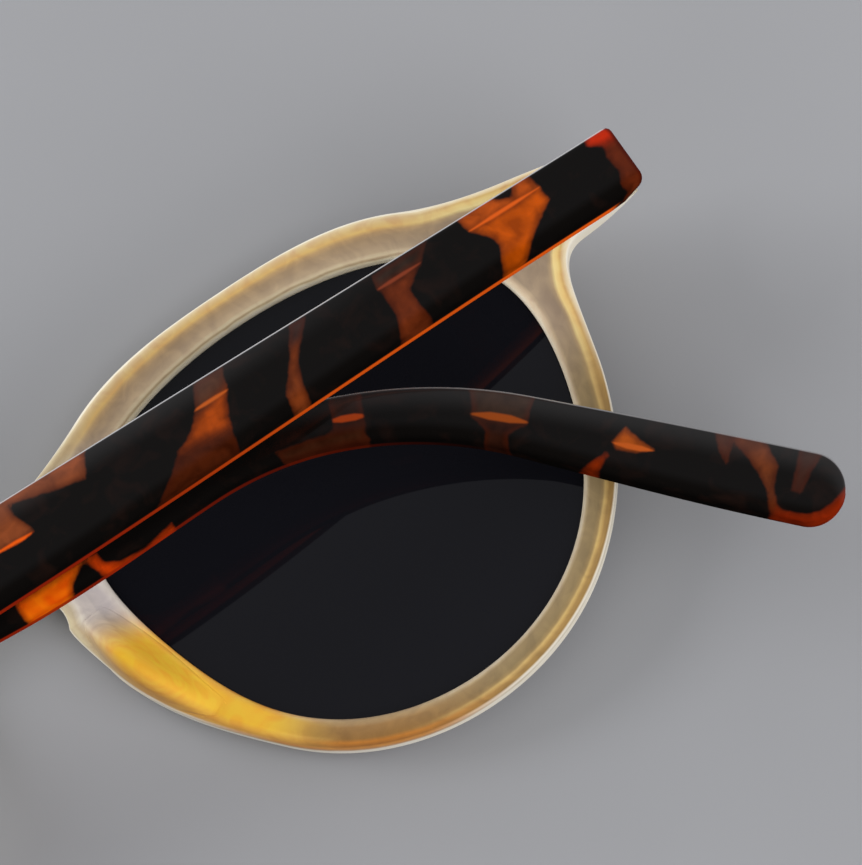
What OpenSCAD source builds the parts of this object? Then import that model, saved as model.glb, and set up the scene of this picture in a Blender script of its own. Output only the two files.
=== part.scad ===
// Folding sunglasses: a moulded front with two lenses and two side arms on five-knuckle hinges.
// The front lies face down, X runs across it, Y points to the brow, Z points to the wearer.
// The arms are drawn folded, the right one over the left one.

/* [Lenses] */
// Width of each lens opening
eye_w = 45; // [41:0.5:49]
// Height of each lens opening
eye_h = 39.1; // [35:0.5:43]
// Distance between the two lens openings
bridge_w = 22.2; // [19:0.2:26]
// How much narrower a lens is low down than at brow height
eye_taper = 0.041; // [0.02:0.005:0.06]
// How square the outline is at its sides
eye_square = 0.035; // [0.02:0.005:0.05]
// How flat the outline is at brow and cheek
eye_flat = 0.017; // [0.005:0.002:0.03]
// How far the nose side is drawn in
eye_nose = 0.017; // [0:0.005:0.03]
// How far the outline leans towards the nose at the brow
eye_lean = 0.018; // [0:0.005:0.03]
// How far its sides sit above its middle
eye_lift = 0.006; // [0:0.002:0.012]
// Thickness of a lens
lens_t = 2; // [1.6:0.1:2.4]
// Radius of the front's and the lenses' curve
base_r = 130; // [100:5:200]
// Angle by which each lens turns back at the side
face_form = 5.75; // [3:0.25:8]
// Depth of the groove that holds the lens
groove_d = 0.65; // [0.4:0.05:0.9]
// Width of that groove at its mouth
groove_w = 1.5; // [1:0.1:1.7]
// Room between a lens and its groove
lens_gap = 0.08; // [0.04:0.02:0.15]

/* [Rims] */
// Thickness of the front
front_t = 3.8; // [3.4:0.1:4.6]
// Width of the rim at the side
rim_side = 3.4; // [2.6:0.1:4.5]
// Width of the rim at its two upper corners
rim_corner = 4.15; // [3:0.1:5]
// Width of the rim over the middle of the lens
rim_brow = 3.45; // [2.6:0.1:4.5]
// Width of the rim beside the nose
rim_nose = 5; // [4:0.1:5.6]
// Width of the rim under the lens
rim_low = 2.7; // [2.2:0.1:4]
// Radius of the rounded edges
edge_r = 0.9; // [0.5:0.1:1.1]

/* [Bridge] */
// Narrowest gap between the two rims at the nose
nose_gap = 12.1; // [11:0.2:12.6]
// Height of that narrowest place over the middle of the lenses
nose_y = 3.6; // [2.5:0.1:4.5]
// Height of the top of the keyhole arch
arch_y = 9.3; // [8:0.1:10.5]
// How far the keyhole widens over its narrowest place
arch_bulge = 1.2; // [0:0.1:1.6]
// Height of the bridge at its middle
bridge_h = 5.1; // [4:0.1:6]

/* [End pieces] */
// Length of an end piece, from the lens opening to its tip
end_l = 13.8; // [13.2:0.1:14.6]
// Height of the lower edge of an end piece
end_low_y = 8.4; // [7.8:0.1:8.6]
// Height of that edge at the tip
tip_low_y = 9.1; // [8.6:0.1:9.4]
// Height of its shoulder beside the rim
shoulder_y = 16.2; // [15.6:0.1:17]
// Fall of the upper edge at the shoulder
shoulder_fall = 0.24; // [0.1:0.02:0.3]
// Radius of the inner corner under the end piece
corner_r = 3.2; // [2.4:0.1:4]

/* [Nose pads] */
// Height of a pad over the back of the rim
pad_h = 2.6; // [1.8:0.1:3.4]
// Angle round the lens from which the pad starts, at its upper end
pad_angle_from = 166; // [160:1:172]
// Angle round the lens at which it ends
pad_angle_to = 214; // [206:1:220]
// Depth to which the pad is bonded into the rim
pad_sink = 0.3; // [0.2:0.05:0.4]

/* [Arms] */
// Length of an arm along its middle line
arm_len = 150; // [144:1:156]
// Thickness of an arm
arm_t = 3.6; // [3.2:0.1:4]
// Height of an arm at the hinge
arm_h_hinge = 6.1; // [5.8:0.05:6.4]
// Height at its widest place
arm_h_wide = 7.75; // [7:0.05:8.4]
// Height behind the ear bend's start
arm_h_neck = 4.4; // [4:0.1:5]
// Height near the tip
arm_h_tip = 6.1; // [5:0.1:7]
// Place of the widest part along the arm
wide_at = 72; // [60:1:80]
// Place of the middle of the ear bend
bend_at = 107.3; // [102:0.5:112]
// Angle of the ear bend
bend_angle = 42; // [34:1:46]
// Radius of the ear bend
bend_r = 40; // [34:1:44]
// Angle by which an arm drops from the hinge
drop_angle = 2.4; // [1.5:0.1:3]
// Height of the arm's middle line at the hinge
arm_y = 9.75; // [9.6:0.05:10.1]
// Angle at which the right arm lies over the front when folded
rest_angle_right = 4.95; // [4.8:0.05:5.4]
// Angle at which the left arm lies when folded
rest_angle_left = -1.25; // [-1.4:0.05:-1.1]

/* [Hinges] */
// Height of one knuckle
knuckle_h = 0.74; // [0.7:0.02:0.78]
// Room between two knuckles
knuckle_gap = 0.05; // [0.03:0.01:0.08]
// Radius of a knuckle
knuckle_r = 1.4; // [1.2:0.05:1.45]
// Radius of the hinge screw
screw_r = 0.55; // [0.45:0.05:0.7]
// Room round the screw
screw_gap = 0.05; // [0.02:0.01:0.1]
// Distance from the hinge axis to the arm's inner face
arm_off = 1.5; // [1.46:0.02:1.6]
// Distance from the back of the front to the hinge axis
axis_rise = 2.2; // [2:0.05:2.4]
// Depth of the slanted joint between arm and end piece
mitre_d = 2.6; // [2.3:0.1:2.8]
// Gap in that joint at a right angle
mitre_gap = 0.3; // [0.25:0.05:0.45]
// Thickness of a hinge plate
plate_t = 1.1; // [0.9:0.1:1.3]
// Height of the middle of the hinge
hinge_y = 10.9; // [10.8:0.05:11]
// Height by which a plate stands out of the plastic
plate_proud = 0.2; // [0.1:0.05:0.3]
// Length of the plate in the front
front_plate_l = 7.5; // [6.8:0.1:8]
// Length of the plate in the arm
arm_plate_l = 10.5; // [8:0.5:14]
// Room round a plate in its recess
plate_gap = 0.03; // [0.02:0.01:0.06]

/* [Place] */
// Distance of the lens centres behind the middle of the folded glasses
centre_y = 1.7; // [1:0.1:3]

/* [Hidden] */

// Half sizes and sums that several pieces share.
half_t = front_t / 2;
stack_h = 5 * knuckle_h + 4 * knuckle_gap;
arm_reach = axis_rise + mitre_d - mitre_gap;
arm_low_share = 0.47;
arm_top_y = arm_y + arm_h_hinge * (1 - arm_low_share);

function unit(v) = v / norm(v);
function left_of(v) = [-v.y, v.x];
function ease(u) = (1 - cos(180 * u)) / 2;
function bend2(a, b, c, u) = (1 - u) * (1 - u) * a + 2 * u * (1 - u) * b + u * u * c;
function bend3(a, b, c, d, u) = (1 - u) * bend2(a, b, c, u) + u * bend2(b, c, d, u);
function steps(a, b, n) = [for (i = [0:n - 1]) a + (b - a) * i / n];

// Outline of a lens opening about its own middle, by the angle t.
function eye(t) = [
    eye_w * (0.52 * cos(t) + eye_taper * sin(2 * t) - eye_square * cos(3 * t)
             + eye_nose * cos(2 * t) - eye_lean * sin(t)),
    eye_h * (0.482 * sin(t) - eye_flat * sin(3 * t) + eye_nose * sin(2 * t) + eye_lift * cos(2 * t))];
function eye_out(t) = -unit(left_of(eye(t + 1) - eye(t - 1)));
eye_x = bridge_w / 2 - min([for (t = [0:2:358]) eye(t).x]);
function opening(t) = [eye_x, 0] + eye(t);
tip_x = max([for (t = [0:2:358]) opening(t).x]) + end_l;
axis_x = tip_x - arm_t - arm_off;

// Width of the rim, eased between eight directions from the middle of the lens.
rim_list = [rim_side, rim_corner, rim_brow, rim_corner, rim_nose, rim_low, rim_low, rim_low, rim_side];
function rim_width(t) =
    let (e = eye(t))
    let (a = (atan2(e.y, e.x) + 360) % 360 / 45)
    let (k = floor(a))
    rim_list[k] + (rim_list[k + 1] - rim_list[k]) * ease(a - k);
function rim_edge(t) = opening(t) + rim_width(t) * eye_out(t);
function rim_way(t) = left_of(eye_out(t));

// Middle surface of the front: a ball's curve over each lens, blended at the nose, straight at the sides.
apex_x = eye_x - base_r * sin(face_form);
blend_in = eye_x - 0.52 * eye_w;
blend_out = eye_x + 0.52 * eye_w;
slope_in = (blend_in - apex_x) / base_r;
slope_out = (blend_out - apex_x) / base_r;
function ball(x, y) = base_r - sqrt(base_r * base_r - (x - apex_x) * (x - apex_x) - y * y);
function raw_height(p) =
    let (x = abs(p.x))
    let (q = min(max(x, blend_in), blend_out))
    ball(q, p.y) + max(x - blend_out, 0) * slope_out
    + (x < blend_in ? slope_in * (x * x - blend_in * blend_in) / (2 * blend_in) : 0);

// Outer edge of the right half of the front, as pairs of lens angle and point.
low_from = -178;
end_from = -5;
end_low_from = 30;
end_top_from = 39;
shoulder_from = 45;
brow_from = 56;
bridge_from = 118;
low_to = 182;
under_a = rim_edge(end_from);
under_b = [under_a.x + 1.5 * corner_r, end_low_y];
tip_low = [tip_x, tip_low_y];
tip_top = [tip_x, arm_top_y];
shoulder = [tip_x - 0.72 * end_l, shoulder_y];
fall_b = shoulder + 0.58 * end_l * [1, -shoulder_fall];
lead = 0.22 * end_l;
brow_b = rim_edge(brow_from);
bridge_b = rim_edge(bridge_from);
bridge_top = [0, arch_y + bridge_h];
arch_top = [0, arch_y];
narrow = [nose_gap / 2, nose_y];
flank_b = rim_edge(low_to);
function under_curve(u) =
    bend3(under_a, under_a + 0.72 * (end_low_y - under_a.y) * rim_way(end_from),
          under_b - [corner_r, 0], under_b, u);
function end_low_curve(u) = bend2(under_b, [(under_b.x + tip_x) / 2, end_low_y], tip_low, u);
function end_top_curve(u) = bend2(tip_top, fall_b, shoulder, u);
function brow_curve(u) =
    bend3(shoulder, shoulder + lead * [-1, shoulder_fall],
          brow_b - 1.15 * lead * rim_way(brow_from), brow_b, u);
function bridge_curve(u) =
    bend3(bridge_b, bridge_b + 0.33 * nose_gap * rim_way(bridge_from),
          bridge_top + [0.41 * nose_gap, 0], bridge_top, u);
function arch_curve(u) =
    bend3(arch_top, arch_top + [0.38 * nose_gap, 0],
          narrow + [arch_bulge, (arch_y - nose_y) / 2], narrow, u);
function flank_curve(u) =
    bend3(narrow, narrow - [0, 0.1 * nose_gap], flank_b - 0.1 * nose_gap * rim_way(low_to), flank_b, u);
edge = concat(
    [for (t = steps(low_from, end_from, 40)) [t, rim_edge(t)]],
    [for (u = steps(0, 1, 8)) [end_from + (end_low_from - end_from) * u, under_curve(u)]],
    [for (u = steps(0, 1, 3)) [end_low_from + 5 * u, end_low_curve(u)]],
    [[end_top_from - 2, tip_low]],
    [for (u = steps(0, 1, 6)) [end_top_from + (shoulder_from - end_top_from) * u, end_top_curve(u)]],
    [for (u = steps(0, 1, 7)) [shoulder_from + (brow_from - shoulder_from) * u, brow_curve(u)]],
    [for (t = steps(brow_from, bridge_from, 15)) [t, rim_edge(t)]],
    [for (u = steps(0, 1, 8)) [bridge_from + 22 * u, bridge_curve(u)]],
    [[bridge_from + 23, bridge_top]],
    [for (u = steps(0, 1, 8)) [bridge_from + 27 + 25 * u, arch_curve(u)]],
    [for (u = steps(0, 1, 4)) [low_to - 12 * (1 - u), flank_curve(u)]]);
rings = len(edge);

// Direction into the plastic at each point of the edge; square to the middle plane on that plane.
function edge_in(i) =
    let (p = edge[i][1])
    let (before = edge[(i + rings - 1) % rings][1])
    let (after = edge[(i + 1) % rings][1])
    p.x > 0 ? unit(left_of(after - before)) : before.x > 0 ? [0, -1] : [0, 1];

// The face-down front touches its table at its lowest point, so that point gives the height of all.
lip = 0.6;
base_z = half_t - min([for (e = edge) raw_height(opening(e[0]) + lip * eye_out(e[0]))]);
function sheet(p, rise) = [p.x, p.y, base_z + raw_height(p) + rise];

// Section through the rim at one point of the edge, from the groove round the front to the back.
function rim_section(i) =
    let (t = edge[i][0])
    let (a = opening(t))
    let (n = eye_out(t))
    let (b = edge[i][1])
    let (m = edge_in(i))
    let (mid = (a + lip * n + b + edge_r * m) / 2)
    [sheet(a, -groove_w / 2), sheet(a + 0.2 * lip * n, 0.6 * lip - half_t),
     sheet(a + lip * n, -half_t), sheet(mid, -half_t), sheet(b + edge_r * m, -half_t),
     sheet(b + 0.3 * edge_r * m, 0.3 * edge_r - half_t), sheet(b, edge_r - half_t),
     sheet(b, half_t - edge_r), sheet(b + 0.3 * edge_r * m, half_t - 0.3 * edge_r),
     sheet(b + edge_r * m, half_t), sheet(mid, half_t), sheet(a + lip * n, half_t),
     sheet(a + 0.2 * lip * n, half_t - 0.6 * lip), sheet(a, groove_w / 2), sheet(a + groove_d * n, 0)];

// Skin between rows of points, each row a closed loop of the same count.
function skin(rows, count, closed) =
    [for (i = [0:rows - (closed ? 1 : 2)]) for (j = [0:count - 1])
        let (k = (i + 1) % rows)
        let (m = (j + 1) % count)
        each [[i * count + j, k * count + m, k * count + j], [i * count + j, i * count + m, k * count + m]]];
function loop(from, count, turned) = [for (j = [0:count - 1]) from + (turned ? count - 1 - j : j)];

module in_place() {
    translate([0, centre_y, 0]) children();
}

module half_front() {
    points = [for (i = [0:rings - 1]) each rim_section(i)];
    polyhedron(points, skin(rings, len(rim_section(0)), true), convexity = 8);
}

// Hinge axis over the end piece, at the height of the middle of the hinge.
inner_x = tip_x - arm_t;
axis_z = sheet([inner_x, hinge_y], half_t).z + axis_rise;
end_tilt = atan(slope_out);
back_z = -axis_rise - arm_off * slope_out;

module at_hinge() {
    translate([axis_x, hinge_y, axis_z]) children();
}

// A flat outline in X and Z, drawn out along Y and centred on the hinge.
module across(low, height) {
    translate([0, low + height, 0]) rotate([90, 0, 0]) linear_extrude(height) children();
}

// Places of the hinge plate in the front, along the slanted back of the end piece.
module on_end_back() {
    at_hinge() translate([0, 0, back_z]) rotate([0, -end_tilt, 0]) children();
}

plate_out = 1.2;
key_l = 2.4;
key_r = 0.45;
key_d = 0.5;
key_x = [plate_out - 0.36 * front_plate_l, plate_out - 0.83 * front_plate_l];

module key_recess(room) {
    hull() for (y = [-key_l / 2, key_l / 2])
        translate([0, y, -key_d - room]) cylinder(r = key_r + room, h = key_d + 2 * room, $fn = 24);
}

module front_recess() {
    on_end_back() {
        hull() for (x = [plate_out - front_plate_l, plate_out])
            for (y = [-stack_h / 2, stack_h / 2])
                translate([x, y, plate_proud - plate_t - plate_gap])
                    cylinder(r = 2 * plate_gap, h = plate_t + 1, $fn = 16);
        for (x = key_x) translate([x, 0, plate_proud - plate_t]) key_recess(plate_gap);
    }
}

// Wedge cut off the back of the end piece, for the slanted joint with the arm.
module mitre_wedge() {
    past = 1;
    run = arm_t + past;
    at_hinge() hull() for (y = [-2 * stack_h, 2 * stack_h]) across(y, 0.1)
        polygon([[arm_off, -axis_rise], [arm_off + run, -axis_rise - mitre_d * run / arm_t],
                 [arm_off + run, 0], [arm_off, 0]]);
}

module front_frame() {
    color("goldenrod") in_place() difference() {
        union() {
            half_front();
            mirror([1, 0, 0]) half_front();
        }
        for (side = [0, 1]) mirror([side, 0, 0]) {
            front_recess();
            mitre_wedge();
        }
    }
}

// A lens: a bevelled edge that sits in the groove, and two curved faces in rings down to the middle.
lens_steps = 96;
lens_rings = [1, 0.7, 0.35];
function lens_ring(part, rise) =
    [for (t = steps(0, 360, lens_steps))
        sheet([eye_x, 0] + part * (eye(t) - lens_gap * eye_out(t)), rise)];
function lens_bevel() =
    [for (t = steps(0, 360, lens_steps)) sheet(opening(t) + (groove_d - 2 * lens_gap) * eye_out(t), 0)];
module lens() {
    half = lens_t / 2;
    half_bevel = groove_w / 2 - lens_gap;
    rows = concat([for (k = [2:-1:0]) lens_ring(lens_rings[k], half)],
                  [lens_ring(1, half_bevel), lens_bevel(), lens_ring(1, -half_bevel)],
                  [for (k = [0:2]) lens_ring(lens_rings[k], -half)]);
    count = len(rows) * lens_steps;
    points = concat([for (r = rows) each r], [sheet([eye_x, 0], half), sheet([eye_x, 0], -half)]);
    last = count - lens_steps;
    caps = [for (j = [0:lens_steps - 1]) let (m = (j + 1) % lens_steps)
        each [[count, m, j], [count + 1, last + j, last + m]]];
    polyhedron(points, concat(skin(len(rows), lens_steps, false), caps), convexity = 4);
}

module right_lens() {
    color("dimgray") in_place() lens();
}

module left_lens() {
    color("dimgray") in_place() mirror([1, 0, 0]) lens();
}

// A nose pad: a ridge along the nose side of the rim, bonded to its back.
pad_steps = 14;
function pad_section(f) =
    let (t = pad_angle_from + (pad_angle_to - pad_angle_from) * f)
    let (w = rim_width(t))
    let (n = eye_out(t))
    let (a = opening(t))
    let (h = pad_h * (0.05 + 0.95 * pow(sin(180 * f), 0.7)))
    let (k = 0.25 + 0.75 * pow(sin(180 * f), 0.5))
    [for (q = [[0.93, -pad_sink], [0.95, 0.25 * h], [0.86, 0.75 * h], [0.7, h], [0.52, 0.92 * h],
               [0.34, 0.5 * h], [0.22, 0.12 * h], [0.2, -pad_sink]])
        let (part = 0.575 + (q[0] - 0.575) * k)
        sheet(a + w * part * n, half_t + q[1])];
module nose_pad() {
    rows = [for (i = [0:pad_steps]) pad_section((i + 0.01) / (pad_steps + 0.02))];
    count = len(rows[0]);
    points = [for (r = rows) each r];
    polyhedron(points, concat(skin(pad_steps + 1, count, false),
        [loop(0, count, true), loop(pad_steps * count, count, false)]), convexity = 4);
}

module right_nose_pad() {
    color("wheat") in_place() nose_pad();
}

module left_nose_pad() {
    color("wheat") in_place() mirror([1, 0, 0]) nose_pad();
}

// Hinge: three knuckles on the front, two on the arm, one screw through all five.
function knuckle_low(k) = -stack_h / 2 + k * (knuckle_h + knuckle_gap);

module plug(r, low, high) {
    translate([0, low, 0]) rotate([-90, 0, 0]) cylinder(r = r, h = high - low, $fn = 48);
}

head_r = 1;
head_h = 0.45;
module screw_hole() {
    plug(screw_r + screw_gap, -stack_h, stack_h);
    plug(head_r + screw_gap, stack_h / 2 - head_h - screw_gap, stack_h);
}

module knuckles(list, web) {
    for (k = list) across(knuckle_low(k), knuckle_h) {
        circle(r = knuckle_r, $fn = 48);
        polygon(web);
    }
}

module front_hinge() {
    web_out = 0.64 * knuckle_r;
    foot = plate_proud - plate_t / 2;
    difference() {
        union() {
            knuckles([0, 2, 4], [[-knuckle_r, 0], [-knuckle_r, back_z + foot - knuckle_r * slope_out],
                                 [web_out, back_z + foot + web_out * slope_out], [web_out, 0]]);
            translate([0, 0, back_z]) rotate([0, -end_tilt, 0]) {
                translate([plate_out - front_plate_l, -stack_h / 2, plate_proud - plate_t])
                    cube([front_plate_l, stack_h, plate_t]);
                for (x = key_x) translate([x, 0, plate_proud - plate_t]) plate_key();
            }
        }
        screw_hole();
    }
}

// A key under the plate that holds it in the plastic.
module plate_key() {
    translate([0, 0, -key_d]) linear_extrude(key_d + plate_t / 2) {
        square([2 * key_r, key_l], center = true);
        for (y = [-key_l / 2, key_l / 2]) translate([0, y]) circle(r = key_r, $fn = 24);
    }
}

module right_front_hinge() {
    color("silver") in_place() at_hinge() front_hinge();
}

module left_front_hinge() {
    color("silver") in_place() mirror([1, 0, 0]) at_hinge() front_hinge();
}

// Places of the arm's hinge plate, from the axis along the arm.
arm_plate_in = 1;
arm_key_x = [arm_plate_in + 0.24 * arm_plate_l, arm_plate_in + 0.76 * arm_plate_l];

module temple_hinge() {
    web_in = 1.43 * knuckle_r;
    foot = arm_off - plate_proud;
    difference() {
        union() {
            knuckles([1, 3], [[-knuckle_r, 0], [-web_in, foot], [-web_in, foot + plate_t / 2],
                              [-arm_plate_in, foot + plate_t / 2], [-arm_plate_in, foot], [0, knuckle_r / 2]]);
            translate([-arm_plate_in - arm_plate_l, -stack_h / 2, foot])
                cube([arm_plate_l, stack_h, plate_t]);
            for (x = arm_key_x) translate([-x, 0, foot + plate_t])
                mirror([0, 0, 1]) plate_key();
        }
        screw_hole();
    }
}

module folded(angle) {
    at_hinge() rotate([0, angle, 0]) children();
}

module right_temple_hinge() {
    color("silver") in_place() folded(rest_angle_right) temple_hinge();
}

module left_temple_hinge() {
    color("silver") in_place() mirror([1, 0, 0]) folded(rest_angle_left) temple_hinge();
}

module hinge_screw() {
    slot_w = 0.3;
    slot_d = 0.25;
    head_top = stack_h / 2 - screw_gap;
    difference() {
        union() {
            plug(screw_r, -stack_h / 2, head_top);
            plug(head_r, stack_h / 2 - head_h, head_top);
        }
        translate([0, head_top, 0]) cube([3 * head_r, 2 * slot_d, slot_w], center = true);
    }
}

module right_hinge_screw() {
    color("gray") in_place() at_hinge() hinge_screw();
}

module left_hinge_screw() {
    color("gray") in_place() mirror([1, 0, 0]) at_hinge() hinge_screw();
}

// Middle line of an arm from its outer end, then turned by the drop angle.
bend_len = bend_r * bend_angle * PI / 180;
bend_from = bend_at - bend_len / 2;
function arm_turn(s) = min(max((s - bend_from) / bend_len, 0), 1) * bend_angle;
function arm_line(s) =
    let (a = arm_turn(s))
    let (before = min(s, bend_from))
    let (after = max(s - bend_from - bend_len, 0))
    [before + bend_r * sin(a) + after * cos(a), -bend_r * (1 - cos(a)) - after * sin(a)];
function dropped(p) =
    [p.x * cos(drop_angle) + p.y * sin(drop_angle), p.y * cos(drop_angle) - p.x * sin(drop_angle)];

// Height of the arm and the share of it over the middle line, eased between four places.
tip_r = arm_h_tip / 2;
arm_keys = [[0, arm_h_hinge, 1 - arm_low_share], [wide_at, arm_h_wide, 0.475],
            [bend_from + 0.42 * bend_len, arm_h_neck, 0.57], [arm_len - 1.6 * tip_r, arm_h_tip, 0.49],
            [2 * arm_len, arm_h_tip, 0.49]];
function arm_key(s, k) =
    let (a = arm_keys[k])
    let (b = arm_keys[k + 1])
    s < b[0] || k == 3 ? a + (b - a) * ease(min((s - a[0]) / (b[0] - a[0]), 1)) : arm_key(s, k + 1);

// Section of an arm at s: a rounded bar whose inner face lies at w = 0.
arm_round = 0.8;
function arm_section(s) =
    let (key = arm_key(s, 0))
    let (tip = max(s - arm_len + tip_r, 0) / tip_r)
    let (part = sqrt(max(1 - tip * tip, 0.004)))
    let (up = key[1] * key[2] * part)
    let (low = key[1] * (1 - key[2]) * part)
    let (thin = 0.5 * (1 - part) * arm_t / 2)
    let (r = min(arm_round, 0.8 * min(up, low)))
    let (a = arm_turn(s))
    let (top = arm_t - thin)
    [for (c = [[up - r, top - r, 0], [r - low, top - r, 90], [r - low, thin + r, 180], [up - r, thin + r, 270]])
        for (q = [0:30:90])
            let (v = c[0] + r * cos(c[2] + q))
            let (w = c[1] + r * sin(c[2] + q))
            let (p = dropped(arm_line(s) + v * [sin(a), cos(a)]))
            let (cut = s == 0 ? mitre_d * (arm_t - w) / arm_t : 0)
            [arm_reach - p.x - cut, arm_y - hinge_y + p.y, w + arm_off]];

arm_places = concat([0], steps(arm_t, bend_from, 15), steps(bend_from, bend_from + bend_len, 11),
    steps(bend_from + bend_len, arm_len - tip_r, 5),
    [for (q = [0:15:75]) arm_len - tip_r + tip_r * sin(q)], [arm_len * 0.9999]);

module arm() {
    rows = [for (s = arm_places) arm_section(s)];
    count = len(rows[0]);
    polyhedron([for (r = rows) each r],
        concat(skin(len(rows), count, false),
            [loop(0, count, true), loop((len(rows) - 1) * count, count, false)]), convexity = 6);
}

module arm_recess() {
    foot = arm_off - plate_proud;
    translate([-arm_plate_in - arm_plate_l - plate_gap, -stack_h / 2 - plate_gap, foot - 1])
        cube([arm_plate_l + 2 * plate_gap, stack_h + 2 * plate_gap, plate_t + plate_gap + 1]);
    for (x = arm_key_x) translate([-x, 0, foot + plate_t - plate_gap])
        linear_extrude(key_d + 3 * plate_gap) {
            square([2 * (key_r + plate_gap), key_l], center = true);
            for (y = [-key_l / 2, key_l / 2]) translate([0, y]) circle(r = key_r + plate_gap, $fn = 24);
        }
}

module right_temple() {
    color("saddlebrown") in_place() folded(rest_angle_right) difference() {
        arm();
        arm_recess();
    }
}

module left_temple() {
    color("saddlebrown") in_place() mirror([1, 0, 0]) folded(rest_angle_left) difference() {
        arm();
        arm_recess();
    }
}

front_frame();
right_lens();
left_lens();
right_nose_pad();
left_nose_pad();
right_front_hinge();
left_front_hinge();
right_hinge_screw();
left_hinge_screw();
right_temple_hinge();
left_temple_hinge();
right_temple();
left_temple();
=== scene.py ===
import math

import bmesh
import bpy
import numpy as np
from mathutils import Matrix, Vector


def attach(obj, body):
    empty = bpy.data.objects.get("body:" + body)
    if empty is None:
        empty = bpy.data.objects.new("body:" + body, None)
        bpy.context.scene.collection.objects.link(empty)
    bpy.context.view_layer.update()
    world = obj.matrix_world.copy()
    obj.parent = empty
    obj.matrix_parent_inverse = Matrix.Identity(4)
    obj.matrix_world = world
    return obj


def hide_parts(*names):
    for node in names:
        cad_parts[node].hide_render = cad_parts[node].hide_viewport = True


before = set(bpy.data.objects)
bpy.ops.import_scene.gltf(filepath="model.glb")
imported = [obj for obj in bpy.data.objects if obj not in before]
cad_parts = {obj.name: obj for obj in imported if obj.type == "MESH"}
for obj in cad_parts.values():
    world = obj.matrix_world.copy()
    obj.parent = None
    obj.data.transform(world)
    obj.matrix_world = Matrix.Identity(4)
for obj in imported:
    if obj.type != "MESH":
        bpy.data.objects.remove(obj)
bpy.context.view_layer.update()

mm = 0.001


def along(a, b, count):  # count values from a up to, not including, b
    return a + (b - a) * np.arange(count) / count


def eased(u):
    return (1 - np.cos(np.pi * u)) / 2


def bend(points, u):  # a Bezier curve through its first and last point
    pts = [np.tile(np.asarray(p, float), (len(u), 1)) for p in points]
    while len(pts) > 1:
        pts = [p * (1 - u)[:, None] + q * u[:, None] for p, q in zip(pts, pts[1:])]
    return pts[0]


def quarter(steps):  # the angles of a quarter turn
    return np.linspace(0, math.pi / 2, steps)


def unit(v):
    return v / np.linalg.norm(v, axis=-1, keepdims=True)


def leftOf(v):
    return np.stack([-v[..., 1], v[..., 0]], -1)


# sizes that front, lenses and pads share: in mm, angles in degrees, the eye's form in shares of its size
frontShape = dict(
    eyeWidth=45, eyeHeight=39.1, eyeGap=22.2,  # the lens opening
    halfWidth=0.52, halfHeight=0.482, taper=0.041, square=0.035, flat=0.017, nose=0.017, lean=0.018,
    lift=0.006,
    baseRadius=130, faceForm=5.75, thickness=3.8, lensThickness=2, grooveWidth=1.5, grooveDepth=0.65,
    side=3.4, corner=4.15, brow=3.45, noseSide=5, low=2.7,  # width of the rim at its places
    edgeRadius=0.9, lip=0.6, lipDepth=0.45,
    noseGap=12.1, noseY=3.6, archY=9.3, archBulge=1.2, bridgeHeight=5.1,
    endLength=13.8, endLowY=8.4, tipLowY=9.1, shoulderY=16.2, shoulderFall=0.24, cornerRadius=3.2,
    armY=9.75, armHeight=6.1, armLowShare=0.47, armThickness=3.6, armOff=1.5,
    hingeY=10.9, axisRise=2.2, mitreDepth=2.6, mitreGap=0.3, centreY=1.7)
fs = frontShape
half = fs["thickness"] / 2


def eye(t):  # outline of a lens opening about its own middle
    r = np.radians(t)
    return np.stack([
        fs["eyeWidth"] * (fs["halfWidth"] * np.cos(r) + fs["taper"] * np.sin(2 * r)
                          - fs["square"] * np.cos(3 * r) + fs["nose"] * np.cos(2 * r)
                          - fs["lean"] * np.sin(r)),
        fs["eyeHeight"] * (fs["halfHeight"] * np.sin(r) - fs["flat"] * np.sin(3 * r)
                           + fs["nose"] * np.sin(2 * r) + fs["lift"] * np.cos(2 * r))], -1)


def eyeOut(t):  # the way out of the opening, square to its outline
    return -unit(leftOf(eye(t + 1) - eye(t - 1)))


evenAngles = np.arange(0, 360, 2.0)
eyeX = fs["eyeGap"] / 2 - eye(evenAngles)[:, 0].min()
tipX = eyeX + eye(evenAngles)[:, 0].max() + fs["endLength"]
axisX = tipX - fs["armThickness"] - fs["armOff"]


def opening(t):
    return eye(t) + [eyeX, 0]


def rimWidth(t):  # the named widths stand 45 degrees apart, with eased steps in between
    e = eye(t)
    a = (np.degrees(np.arctan2(e[..., 1], e[..., 0])) + 360) % 360 / 45
    names = ("side", "corner", "brow", "corner", "noseSide", "low", "low", "low", "side")
    widths = np.array([fs[name] for name in names])
    k = np.floor(a).astype(int) % 8
    return widths[k] + (widths[k + 1] - widths[k]) * eased(a - k)


def rimEdge(t):
    return opening(t) + rimWidth(t)[..., None] * eyeOut(t)


apexX = eyeX - fs["baseRadius"] * math.sin(math.radians(fs["faceForm"]))
blendIn = eyeX - fs["halfWidth"] * fs["eyeWidth"]  # the surface is part of a ball between these two
blendOut = eyeX + fs["halfWidth"] * fs["eyeWidth"]
slopeIn, slopeOut = (blendIn - apexX) / fs["baseRadius"], (blendOut - apexX) / fs["baseRadius"]


def rise(p):  # height of the front's middle surface: a ball, running on straight to the end pieces
    x = np.abs(p[..., 0])
    q = np.clip(x, blendIn, blendOut)
    ball = fs["baseRadius"] - np.sqrt(fs["baseRadius"] ** 2 - (q - apexX) ** 2 - p[..., 1] ** 2)
    inner = np.where(x < blendIn, slopeIn * (x * x - blendIn ** 2) / (2 * blendIn), 0)
    return ball + np.maximum(x - blendOut, 0) * slopeOut + inner


# how far the handles of the outer edge's curves reach, as shares of the size beside them
edgePull = dict(underRun=1.5, under=0.72, shoulderBack=0.72, fall=0.58, lead=0.22, brow=1.15,
                bridgeSide=0.33, bridgeTop=0.41, archTop=0.38, flank=0.1)


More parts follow.
